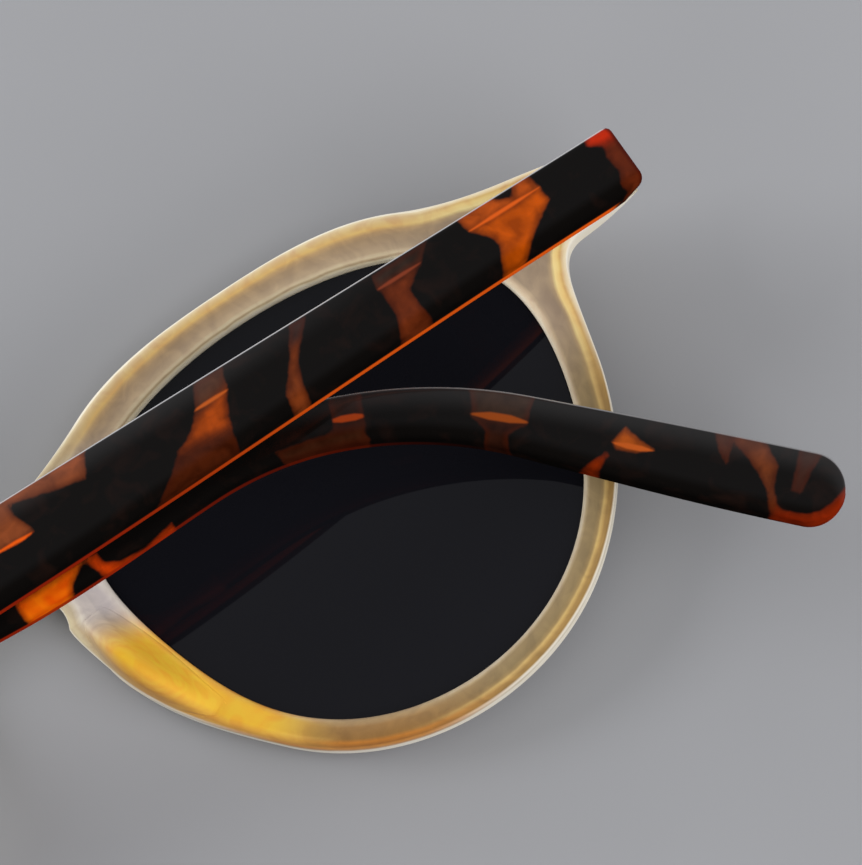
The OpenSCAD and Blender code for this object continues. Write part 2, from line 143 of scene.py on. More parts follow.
def outline(fine):  # right half of the outer edge: lens angles and points, fine times the coarse count
    def at(t):
        return rimEdge(np.array([float(t)]))[0]

    def way(t):
        return leftOf(eyeOut(np.array([float(t)])))[0]

    pull, gap, fall = edgePull, fs["noseGap"], fs["shoulderFall"]
    underA, browB, bridgeB, flankB = at(-5), at(56), at(118), at(182)
    underB = np.array([underA[0] + pull["underRun"] * fs["cornerRadius"], fs["endLowY"]])
    tipLow = np.array([tipX, fs["tipLowY"]])
    tipTop = np.array([tipX, fs["armY"] + fs["armHeight"] * (1 - fs["armLowShare"])])
    shoulder = np.array([tipX - pull["shoulderBack"] * fs["endLength"], fs["shoulderY"]])
    fallB = shoulder + pull["fall"] * fs["endLength"] * np.array([1, -fall])
    lead = pull["lead"] * fs["endLength"]
    bridgeTop, archTop = np.array([0, fs["archY"] + fs["bridgeHeight"]]), np.array([0, fs["archY"]])
    narrow = np.array([gap / 2, fs["noseY"]])
    parts = []

    def free(count, a, b):  # the rim's own edge between two lens angles
        t = along(a, b, count * fine)
        parts.append((t, rimEdge(t)))

    def curve(count, a, b, *points):  # a curve of its own between two lens angles
        u = along(0, 1, count * fine)
        parts.append((a + (b - a) * u, bend(points, u)))

    # the edge piece by piece: its count, the lens angles it runs between, and a curve's points
    free(40, -178, -5)
    curve(8, -5, 30, underA, underA + pull["under"] * (fs["endLowY"] - underA[1]) * way(-5),
          underB - [fs["cornerRadius"], 0], underB)
    curve(3, 30, 35, underB, [(underB[0] + tipX) / 2, fs["endLowY"]], tipLow)
    curve(2, 37, 39, tipLow, tipTop)
    curve(6, 39, 45, tipTop, fallB, shoulder)
    curve(7, 45, 56, shoulder, shoulder + lead * np.array([-1, fall]),
          browB - pull["brow"] * lead * way(56), browB)
    free(15, 56, 118)
    curve(8, 118, 140, bridgeB, bridgeB + pull["bridgeSide"] * gap * way(118),
          bridgeTop + [pull["bridgeTop"] * gap, 0], bridgeTop)
    parts.append((np.array([141.0]), bridgeTop[None]))
    curve(8, 145, 170, archTop, archTop + [pull["archTop"] * gap, 0],
          narrow + [fs["archBulge"], (fs["archY"] - fs["noseY"]) / 2], narrow)
    curve(4, 170, 182, narrow, narrow - [0, pull["flank"] * gap], flankB - pull["flank"] * gap * way(182),
          flankB)
    return np.concatenate([p[0] for p in parts]), np.concatenate([p[1] for p in parts])


def seamAt(edge):  # the bridge's top point, where the right half meets the left one
    return int(np.argmax((edge[:, 0] == 0) & (edge[:, 1] > fs["archY"] + 1)))


coarseT = outline(1)[0]
baseZ = half - rise(opening(coarseT) + fs["lip"] * eyeOut(coarseT)).min()
axisZ = baseZ + rise(np.array([tipX - fs["armThickness"], fs["hingeY"]])) + half + fs["axisRise"]


def onSheet(p, height):  # a flat point lifted to the front's curved surface, in the frame's own place
    z = baseZ + rise(p) + height
    return np.concatenate([p + [0, fs["centreY"]], z[..., None]], -1)


def makeMesh(name, points, faces, body, replaced=None, mirrored=False):
    pts = np.asarray(points, float).reshape(-1, 3) * mm
    if mirrored:
        pts = pts * [-1, 1, 1]
        faces = [f[::-1] for f in faces]
    mesh = bpy.data.meshes.new(name)
    mesh.from_pydata(pts.tolist(), [], [list(map(int, f)) for f in faces])
    mesh.validate()
    mesh.shade_smooth()
    obj = bpy.data.objects.new(name, mesh)
    bpy.context.scene.collection.objects.link(obj)
    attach(obj, body)
    if replaced:
        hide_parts(replaced)
    return obj


def skin(rows, count, closed=False):  # faces between rows of points, each row a loop
    faces = []
    for i in range(rows if closed else rows - 1):
        k = (i + 1) % rows
        for j in range(count):
            m = (j + 1) % count
            faces.append((i * count + j, i * count + m, k * count + m, k * count + j))
    return faces


def ends(rows, count):  # the two faces that close a skin of open rows
    last = (rows - 1) * count
    return [tuple(reversed(range(count))), tuple(last + j for j in range(count))]


def keep(mesh, name, values):  # a value for each point, for the material to read
    values = np.asarray(values, np.float32)
    kind = "FLOAT_VECTOR" if values.ndim == 2 else "FLOAT"
    layer = mesh.attributes.new(name, kind, "POINT")
    layer.data.foreach_set("vector" if kind == "FLOAT_VECTOR" else "value", values.ravel())


def pointsOf(mesh):
    flat = np.empty(len(mesh.vertices) * 3, np.float32)
    mesh.vertices.foreach_get("co", flat)
    return flat.reshape(-1, 3) / mm


def distanceTo(points, line, closed=True):  # flat distance of each point to a line of points
    a = line if closed else line[:-1]
    d = (np.roll(line, -1, 0) if closed else line[1:]) - a
    step = 4000  # points at a time, to spare memory
    found = []
    for start in range(0, len(points), step):
        p = points[start:start + step, None]
        u = np.clip(((p - a) * d).sum(-1) / np.maximum((d * d).sum(-1), 1e-12), 0, 1)
        found.append(np.sqrt((((a + u[..., None] * d) - p) ** 2).sum(-1)).min(1))
    return np.concatenate(found)


def smoothStep(value, low, high):
    u = np.clip((value - low) / (high - low), 0, 1)
    return u * u * (3 - 2 * u)


class Nodes:  # builds one material, node by node
    def __init__(self, name):
        self.mat = bpy.data.materials.new(name)
        self.mat.use_nodes = True
        self.tree = self.mat.node_tree
        self.shader = self.tree.nodes["Principled BSDF"]

    def put(self, socket, value):
        if isinstance(value, bpy.types.NodeSocket):
            self.tree.links.new(value, socket)
        elif isinstance(value, tuple) and len(value) == 3 and socket.type == "RGBA":
            socket.default_value = (*value, 1)
        else:
            socket.default_value = value

    def add(self, kind, inputs=(), **settings):
        node = self.tree.nodes.new("ShaderNode" + kind)
        for key, value in settings.items():
            setattr(node, key, value)
        for key, value in (inputs.items() if isinstance(inputs, dict) else enumerate(inputs)):
            if value is not None:
                self.put(node.inputs[key], value)
        return node

    def math(self, operation, *values):
        return self.add("Math", values, operation=operation).outputs[0]

    def smooth(self, value, low, high, fromValue=0.0, toValue=1.0):
        return self.add("MapRange", [value, low, high, fromValue, toValue],
                        interpolation_type="SMOOTHSTEP").outputs[0]

    def mix(self, share, a, b, blend="MIX"):
        node = self.add("Mix", data_type="RGBA", blend_type=blend)
        for key, value in ((0, share), (6, a), (7, b)):  # 6 and 7 are its colour sockets
            self.put(node.inputs[key], value)
        return node.outputs[2]

    def ramp(self, share, colours):
        node = self.add("ValToRGB", [share])
        row = node.color_ramp.elements
        while len(row) < len(colours):
            row.new(0.5)
        for item, (place, colour) in zip(row, colours):
            item.position, item.color = place, (*colour, 1)
        return node.outputs[0]

    def noise(self, place, scale, detail=2.0, distortion=0.0):
        return self.add("TexNoise", {"Vector": place, "Scale": scale, "Detail": detail,
                                     "Distortion": distortion}).outputs[0]

    def kept(self, name, output="Fac"):
        return self.add("Attribute", attribute_name=name).outputs[output]

    def split(self, vector):
        return self.add("SeparateXYZ", [vector]).outputs

    def place(self):
        return self.add("TexCoord").outputs["Object"]

    def shade(self, **values):
        for key, value in values.items():
            self.put(self.shader.inputs[key.replace("_", " ")], value)
        return self.mat


def tone(r, g, b):  # a colour as a screen shows it, 0 to 255, made linear
    return tuple(c / 255 / 12.92 if c < 10.3 else ((c / 255 + 0.055) / 1.055) ** 2.4 for c in (r, g, b))


def stops(*rows):  # colour stops for a ramp, each one a place and a screen colour
    return [(place, tone(*colour)) for place, *colour in rows]


print("front")
frontMesh = dict(fine=5, across=9, lipSteps=4, roundSteps=6, wallSteps=4, weld=0.002, sharp=40,
                 cutPast=1.0, cutWide=25)


def frontHalf():  # b is the outer edge, a the lens opening, n the way out of it
    fm = frontMesh
    t, b = outline(fm["fine"])
    inward = unit(leftOf(np.roll(b, -1, 0) - np.roll(b, 1, 0)))
    top = seamAt(b)
    inward[top], inward[top + 1] = [0, -1], [0, 1]
    a, n = opening(t), eyeOut(t)
    r, lip = fs["edgeRadius"], fs["lip"]
    inner, outer = a + lip * n, b + r * inward
    flat = 0 * t
    back = [onSheet(a, fs["grooveWidth"] / 2 + flat)]  # rows along the edge, from groove to outer wall
    for q in quarter(fm["lipSteps"]):
        back.append(onSheet(a + lip * (1 - math.cos(q)) * n,
                            half - fs["lipDepth"] * (1 - math.sin(q)) + flat))
    for q in np.linspace(0, 1, fm["across"])[1:-1]:
        back.append(onSheet(inner + (outer - inner) * q, half + flat))
    for q in quarter(fm["roundSteps"]):
        back.append(onSheet(b + r * (1 - math.sin(q)) * inward, half - r + r * math.cos(q) + flat))
    middle = [onSheet(row[:, :2] - [0, fs["centreY"]], flat) for row in back]
    front = [np.concatenate([m[:, :2], 2 * m[:, 2:] - row[:, 2:]], 1)
             for m, row in zip(middle, back)][::-1]  # the back's twin below the middle surface
    drops = np.arange(1, fm["wallSteps"]) / fm["wallSteps"]
    wall = [back[-1] + (front[0] - back[-1]) * q for q in drops]
    groove = [onSheet(a + fs["grooveDepth"] * n, flat)]
    points = np.stack(back + wall + front + groove, 1)  # along the edge, round the section, x y z
    section = points.shape[1]
    faces = skin(len(t), section, closed=True)
    lipped = len(back) - fm["roundSteps"]
    seamFaces = set(range(lipped, lipped + 2 * fm["roundSteps"] + len(wall) - 1))
    return points, [f for k, f in enumerate(faces) if not (k // section == top and k % section in seamFaces)]


def turnOut(mesh, weld=0):  # joins points closer than weld, and turns all faces outward
    loose = bmesh.new()
    loose.from_mesh(mesh)
    if weld:
        bmesh.ops.remove_doubles(loose, verts=loose.verts, dist=weld)
    bmesh.ops.recalc_face_normals(loose, faces=loose.faces)
    loose.to_mesh(mesh)
    loose.free()


def cutWedges(obj):  # the slanted cut behind each end piece, where the arm closes on it
    off, top = fs["armOff"], fs["axisRise"]
    run = fs["armThickness"] + frontMesh["cutPast"]
    deep = top + fs["mitreDepth"] * run / fs["armThickness"]
    flat = [(off, -top), (off + run, -deep), (off + run, 0), (off, 0)]
    for side in (1, -1):
        points = [(side * (axisX + x), y, axisZ + z) for y in (0, frontMesh["cutWide"]) for x, z in flat]
        faces = [(3, 2, 1, 0), (4, 5, 6, 7), (0, 1, 5, 4), (1, 2, 6, 5), (2, 3, 7, 6), (3, 0, 4, 7)]
        mesh = bpy.data.meshes.new("cutter")
        mesh.from_pydata([Vector(p) * mm for p in points], [], faces)
        turnOut(mesh)
        cutter = bpy.data.objects.new("cutter", mesh)
        bpy.context.scene.collection.objects.link(cutter)
        cut = obj.modifiers.new("cut", "BOOLEAN")
        cut.operation, cut.solver, cut.object = "DIFFERENCE", "FAST", cutter
        bpy.context.view_layer.update()
        made = bpy.data.meshes.new_from_object(obj.evaluated_get(bpy.context.evaluated_depsgraph_get()))
        obj.modifiers.clear()
        obj.data = made
        bpy.data.objects.remove(cutter)


halfPoints, halfFaces = frontHalf()  # the left half is its mirror image
halfPoints = halfPoints.reshape(-1, 3)
bothPoints = np.concatenate([halfPoints, halfPoints * [-1, 1, 1]])
bothFaces = halfFaces + [tuple(i + len(halfPoints) for i in f[::-1]) for f in halfFaces]
front = makeMesh("front", bothPoints, bothFaces, "front", "front_frame")
turnOut(front.data, frontMesh["weld"] * mm)
cutWedges(front)
front.data.set_sharp_from_angle(angle=math.radians(frontMesh["sharp"]))


# parts of the rim in degrees round the lens: growing between the first two, fading between the last two
rimZones = dict(brow=(14, 40, 128, 150), low=(222, 240, 250, 285), amber=(168, 182, 216, 240),
                bridge=(128, 150, 170, 184), below=(196, 224, 256, 285), tip=(168, 190, 212, 232))
# widths and heights in mm, the wall's share of the rim's width and the flat back's last place in it; the
# line marks place a painted highlight along the back's outer edge
rimMarks = dict(wallShare=0.26, flatEnd=0.45, widest=4.9, bridgeFade=(6.4, 9), line=(0.05, 0.17),
                edgeHighlightHeight=(0.2, 0.9), outline=2)


def markFront(mesh):  # where each point lies between lens and outer edge, and in which part of the rim
    rm = rimMarks
    pts = pointsOf(mesh)
    flat = np.stack([np.abs(pts[:, 0]), pts[:, 1] - fs["centreY"]], 1)
    level = pts[:, 2] - baseZ - rise(flat)
    edge = outline(rm["outline"])[1]
    outer = distanceTo(flat, np.roll(edge, -seamAt(edge) - 1, 0), closed=False)
    lens = distanceTo(flat, opening(evenAngles))
    lens = np.where((np.abs(level) < fs["grooveWidth"] / 2) & (lens < outer), 0, lens)
    wallDepth = 2 * half - fs["edgeRadius"]  # the outer wall counts as a narrow strip of the rim
    wallStrip = rm["wallShare"] * wallDepth
    onWall = outer < fs["edgeRadius"] + 0.05
    wallHere = rm["wallShare"] * np.clip(half - level, 0, wallDepth) * onWall
    width = np.minimum(lens + outer + wallStrip, rm["widest"])
    band = np.maximum(np.minimum(lens / width, rm["flatEnd"]), 1 - (outer + wallStrip - wallHere) / width)
    band = np.where(level < fs["edgeRadius"] - half, lens / (lens + outer + 0.001), band)  # the face
    turn = np.degrees(np.arctan2(flat[:, 1], flat[:, 0] - eyeX)) % 360

    def zone(name, turned=0):
        a, b, c, d = rimZones[name]
        here = (turn + turned) % 360
        return smoothStep(here, a, b) * (1 - smoothStep(here, c, d))

    bridge = np.maximum(zone("bridge"), 1 - smoothStep(flat[:, 0], *rm["bridgeFade"]))
    # line: a painted highlight along the back's rounded outer edge
    line = (1 - smoothStep(outer, *rm["line"])) * smoothStep(level, *rm["edgeHighlightHeight"])
    keep(mesh, "band", band)
    keep(mesh, "spot", np.concatenate([flat, pts[:, 2:]], 1))
    keep(mesh, "zones", np.stack([zone("brow"), zone("low"), zone("amber")], 1))
    keep(mesh, "marks", np.stack([bridge, line, zone("below")], 1))
    keep(mesh, "tip", zone("tip", 180))  # counted from the nose side, as it lies across 0 degrees


markFront(front.data)

# the plastic's tones from the lens edge (0) over the flat back to the foot of the outer wall (1); the
# near-white first stops of side, tip and brow are a painted highlight on the lens lip, and the near-white
# last stops a painted highlight on the outer wall
honeyLook = dict(
    roughness=0.42, specular=0.4, coat=0.1, coatRoughness=0.25, cloud=0.09, cloudSize=0.22,
    edgeHighlight=tone(254, 247, 232), lowEdgeHighlight=tone(212, 144, 66), edgeHighlightShare=0.85,
    streakShare=0.16, streakSize=0.8, streak=stops((0.35, 120, 92, 58), (0.65, 248, 236, 206)),
    side=stops((0, 244, 232, 210), (0.07, 226, 210, 184), (0.13, 184, 164, 130), (0.18, 156, 136, 101),
               (0.42, 146, 127, 91), (0.5, 158, 134, 92), (0.56, 204, 174, 112), (0.61, 188, 155, 96),
               (0.66, 162, 130, 78), (0.78, 156, 124, 70), (0.86, 172, 146, 98), (0.92, 252, 244, 226)),
    tip=stops((0, 252, 242, 222), (0.06, 230, 212, 186), (0.14, 194, 174, 148), (0.2, 166, 148, 128),
              (0.45, 158, 140, 120), (0.52, 178, 156, 124), (0.585, 244, 220, 156),
              (0.66, 240, 208, 138), (0.71, 216, 178, 114), (0.79, 236, 218, 184),
              (0.955, 252, 244, 226)),
    brow=stops((0, 252, 242, 218), (0.035, 240, 226, 194), (0.06, 190, 166, 132), (0.1, 226, 208, 176),
               (0.17, 192, 170, 142), (0.3, 174, 151, 124), (0.42, 170, 145, 114),
               (0.5, 186, 154, 112), (0.57, 222, 182, 114), (0.64, 216, 182, 126),
               (0.72, 212, 186, 146), (0.775, 224, 206, 172), (0.8, 250, 242, 222)),
    low=stops((0, 206, 182, 150), (0.08, 186, 160, 122), (0.25, 160, 124, 78), (0.56, 146, 108, 58),
              (0.66, 184, 118, 44), (0.76, 160, 104, 42), (0.86, 172, 124, 66), (0.92, 254, 246, 230)),
    amber=stops((0, 226, 160, 80), (0.04, 248, 192, 84), (0.16, 254, 198, 62), (0.54, 250, 192, 56),
                (0.66, 232, 174, 66), (0.75, 206, 150, 66), (0.82, 216, 168, 86),
                (0.89, 226, 192, 122), (0.94, 254, 250, 238)),
    bridge=stops((0, 218, 210, 203), (0.2, 184, 177, 179), (0.42, 172, 165, 167),
                 (0.56, 210, 202, 194), (0.68, 186, 173, 148), (0.84, 208, 195, 164),
                 (0.94, 254, 248, 230)))


def honeyPlastic():
    look = honeyLook
    n = Nodes("honeyPlastic")
    spot = n.kept("spot", "Vector")
    brow, low, amber = n.split(n.kept("zones", "Vector"))[:3]
    bridge, line, below = n.split(n.kept("marks", "Vector"))[:3]
    cloud = n.math("SUBTRACT", n.noise(spot, look["cloudSize"], 3.0, 0.3), 0.5)
    band = n.math("MULTIPLY_ADD", cloud, look["cloud"], n.kept("band"))
    colour = n.ramp(band, look["side"])
    shares = dict(brow=brow, tip=n.kept("tip"), low=low, amber=amber, bridge=bridge)
    for name, share in shares.items():
        colour = n.mix(share, colour, n.ramp(band, look[name]))
    # a painted highlight along the back's outer edge, white, and warm orange on the lower rim
    edgeHighlightTone = n.mix(below, look["edgeHighlight"], look["lowEdgeHighlight"])
    colour = n.mix(n.math("MULTIPLY", line, look["edgeHighlightShare"]), colour, edgeHighlightTone)
    stretched = n.add("Mapping", [spot, None, None, (0.5, 0.5, 2.0)]).outputs[0]
    streak = n.ramp(n.noise(stretched, look["streakSize"], 4.0, 1.2), look["streak"])
    colour = n.mix(look["streakShare"], colour, streak, "OVERLAY")
    return n.shade(Base_Color=colour, Roughness=look["roughness"], Specular_IOR_Level=look["specular"],
                   Coat_Weight=look["coat"], Coat_Roughness=look["coatRoughness"])


honey = honeyPlastic()
front.data.materials.clear()
front.data.materials.append(honey)


print("lenses")
lensLook = dict(rings=18, steps=180, middle=0.02, gap=0.08, sharp=30,
                tint=tone(15, 15, 19), lowTint=tone(18, 18, 23), fade=0.02, roughness=0.03, specular=0.25)


def lensShape():  # rings from the middle of the back over the bevel to the middle of the face
    ll = lensLook
    t = along(0, 360, ll["steps"])
    h, bevel = fs["lensThickness"] / 2, fs["grooveWidth"] / 2 - ll["gap"]
    parts = np.linspace(ll["middle"], 1, ll["rings"])

    def ring(part, z):
        return onSheet([eyeX, 0] + part * (eye(t) - ll["gap"] * eyeOut(t)), z + 0 * t)

    ridge = onSheet(opening(t) + (fs["grooveDepth"] - 2 * ll["gap"]) * eyeOut(t), 0 * t)
    rows = [ring(part, h) for part in parts] + [ring(1, bevel), ridge, ring(1, -bevel)]
    rows += [ring(part, -h) for part in parts[::-1]]
    faces = [f[::-1] for f in skin(len(rows), ll["steps"]) + ends(len(rows), ll["steps"])]
    return np.stack(rows), faces


def darkLens():
    look = lensLook
    n = Nodes("darkLens")
    fade = n.smooth(n.split(n.place())[1], -look["fade"], look["fade"])
    colour = n.mix(fade, look["lowTint"], look["tint"])
    return n.shade(Base_Color=colour, Roughness=look["roughness"], Specular_IOR_Level=look["specular"])


lensMaterial = darkLens()
lensPoints, lensFaces = lensShape()
for side in ("right", "left"):
    lens = makeMesh(side + "Lens", lensPoints, lensFaces, "front", side + "_lens", mirrored=side == "left")
    lens.data.set_sharp_from_angle(angle=math.radians(lensLook["sharp"]))
    lens.data.materials.append(lensMaterial)


print("nose pads")
# from start to end in degrees round the lens; the section in shares of the rim's width and of the height
padShape = dict(height=2.6, start=166, end=214, sink=0.3, middle=0.575, steps=60, perSpan=4,
                section=[(1.02, -1), (0.99, 0.03), (0.95, 0.32), (0.87, 0.75), (0.74, 0.97), (0.6, 0.99),
                         (0.45, 0.8), (0.3, 0.47), (0.17, 0.19), (0.08, 0.03), (0.04, -1)])


def rounded(corners, steps):  # a smooth line through all its corners
    line = []
    for j in range(len(corners) - 1):
        before, a, b = corners[max(j - 1, 0)], corners[j], corners[j + 1]
        after = corners[min(j + 2, len(corners) - 1)]
        for u in along(0, 1, steps):
            line.append(0.5 * (2 * a + (b - before) * u + (2 * before - 5 * a + 4 * b - after) * u * u
                               + (3 * a - before - 3 * b + after) * u ** 3))
    return np.array(line + [corners[-1]])


def padPoints():
    ps = padShape
    rows = []
    for f in np.linspace(0.001, 0.999, ps["steps"] + 1):
        t = np.array([ps["start"] + (ps["end"] - ps["start"]) * f])
        lean = math.sin(math.pi * f)
        rate = 0.75 + 0.75 * f  # the lower end runs out more gently than the upper one
        high = ps["height"] * (1.02 * lean ** rate - 0.02)  # just under the rim at both ends
        wide = 0.4 + 0.6 * lean ** 0.5
        corners = [(ps["middle"] + (x - ps["middle"]) * wide, -ps["sink"] if z < 0 else z * high)
                   for x, z in ps["section"]]
        line = rounded(np.array(corners), ps["perSpan"])
        rows.append(onSheet(opening(t) + line[:, :1] * rimWidth(t) * eyeOut(t), half + line[:, 1]))
    points = np.stack(rows)
    count = points.shape[1]
    return points, skin(len(rows), count) + ends(len(rows), count)


padMesh, padFaces = padPoints()
for side in ("right", "left"):
    pad = makeMesh(side + "NosePad", padMesh, padFaces, "front", side + "_nose_pad", mirrored=side == "left")
    markFront(pad.data)
    pad.data.materials.append(honey)


print("arms")
armShape = dict(length=150, round=0.8, bendAt=107.3, bendAngle=42, bendRadius=40, drop=2.4,
                wideHeight=7.75, wideAt=72, neckHeight=4.4, neckAt=0.42, tipHeight=6.1, tipFrom=1.6,
                wideUp=0.475, neckUp=0.57, tipUp=0.49,  # the share of the height above the middle line
                restRight=4.95, restLeft=-1.25, bevel=0.1, sharp=50,
                stations=440, faceSteps=18, sideSteps=6, roundSteps=5, tipSteps=24)
ash = armShape
thick = fs["armThickness"]
armReach = fs["axisRise"] + fs["mitreDepth"] - fs["mitreGap"]
bendLength = ash["bendRadius"] * math.radians(ash["bendAngle"])
bendFrom = ash["bendAt"] - bendLength / 2
tipRadius = ash["tipHeight"] / 2
armKeys = np.array([[0, fs["armHeight"], 1 - fs["armLowShare"]],  # place, height, share above the line
                    [ash["wideAt"], ash["wideHeight"], ash["wideUp"]],
                    [bendFrom + ash["neckAt"] * bendLength, ash["neckHeight"], ash["neckUp"]],
                    [ash["length"] - ash["tipFrom"] * tipRadius, ash["tipHeight"], ash["tipUp"]],
                    [2 * ash["length"], ash["tipHeight"], ash["tipUp"]]])


def armKey(s):  # place, height and share above the line at s, eased between the keys
    k = min(int(np.searchsorted(armKeys[:, 0], s, side="right")) - 1, 3)
    a, b = armKeys[k], armKeys[k + 1]
    return a + (b - a) * float(eased(min((s - a[0]) / (b[0] - a[0]), 1)))


def armLine(s, v):  # place of a point v over the middle line at s, in the arm's own plane
    a = np.clip((s - bendFrom) / bendLength, 0, 1) * math.radians(ash["bendAngle"])
    before, after = np.minimum(s, bendFrom), np.maximum(s - bendFrom - bendLength, 0)
    x = before + ash["bendRadius"] * np.sin(a) + after * np.cos(a) + v * np.sin(a)
    y = -ash["bendRadius"] * (1 - np.cos(a)) - after * np.sin(a) + v * np.cos(a)
    d = math.radians(ash["drop"])
    return x * math.cos(d) + y * math.sin(d), y * math.cos(d) - x * math.sin(d)


def armSection(s, inset=0.0):  # a rounded box round the middle line, with its heights above and below it
    key = armKey(s)
    tip = max(s - ash["length"] + tipRadius, 0) / tipRadius
    part = math.sqrt(max(1 - tip * tip, 0.004))  # round towards the tip, but never a point
    up, low = key[1] * key[2] * part - inset, key[1] * (1 - key[2]) * part - inset
    thin = 0.5 * (1 - part) * thick / 2 + inset  # the tip is half as thick
    r = min(ash["round"], 0.8 * min(up, low))
    top = thick - thin
    corners = [((up - r, top - r), 0), ((r - low, top - r), 90), ((r - low, thin + r), 180),
               ((up - r, thin + r), 270)]
    ring = []
    for k, ((cv, cw), start) in enumerate(corners):
        for q in np.linspace(0, 90, ash["roundSteps"]):
            g = math.radians(start + q)
            ring.append((cv + r * math.cos(g), cw + r * math.sin(g)))
        (nv, nw), nextStart = corners[(k + 1) % 4]
        g = math.radians(nextStart)
        a, b = np.array(ring[-1]), np.array([nv + r * math.cos(g), nw + r * math.sin(g)])
        for u in np.linspace(0, 1, (ash["faceSteps"] if k % 2 == 0 else ash["sideSteps"]) + 1)[1:-1]:
            ring.append(tuple(a + (b - a) * u))
    return np.array(ring), up, low


def armPlaces():  # places along the arm, each with how far its section draws in
    bevel, tipStart = ash["bevel"], ash["length"] - tipRadius
    start = [(0.0, bevel), (0.3 * bevel, 0.3 * bevel), (bevel, 0.0)]
    body = [(s, 0.0) for s in np.linspace(4 * bevel, tipStart, ash["stations"])]
    turns = np.radians(4 + 3.5 * np.arange(ash["tipSteps"]))
    tip = [(tipStart + tipRadius * math.sin(q), 0.0) for q in turns]
    return start + body + tip + [(ash["length"] * 0.9999, 0.0)]


def armMesh():
    rows, places, sides = [], [], []
    for s, inset in armPlaces():
        ring, up, low = armSection(s, inset)
        v, w = ring[:, 0], ring[:, 1]
        x, y = armLine(s, v)
        cut = fs["mitreDepth"] * (thick - w) / thick * (1 - min(s / thick, 1))
        rows.append(np.stack([armReach - x - cut, fs["armY"] - fs["hingeY"] + y, w + fs["armOff"]], 1))
        places.append(np.stack([s + 0 * v, v, w], 1))
        sides.append(np.stack([up - v, v + low, w], 1))
    faces = skin(len(rows), len(v)) + ends(len(rows), len(v))
    return np.concatenate(rows), np.concatenate(places), np.concatenate(sides), faces


def folded(points, angle):  # from the hinge's own place to the folded arm's place
    r = math.radians(angle)
    p = np.asarray(points).reshape(-1, 3)
    x = p[:, 0] * math.cos(r) + p[:, 2] * math.sin(r)
    z = -p[:, 0] * math.sin(r) + p[:, 2] * math.cos(r)
    return np.stack([x + axisX, p[:, 1] + fs["hingeY"] + fs["centreY"], z + axisZ], 1)


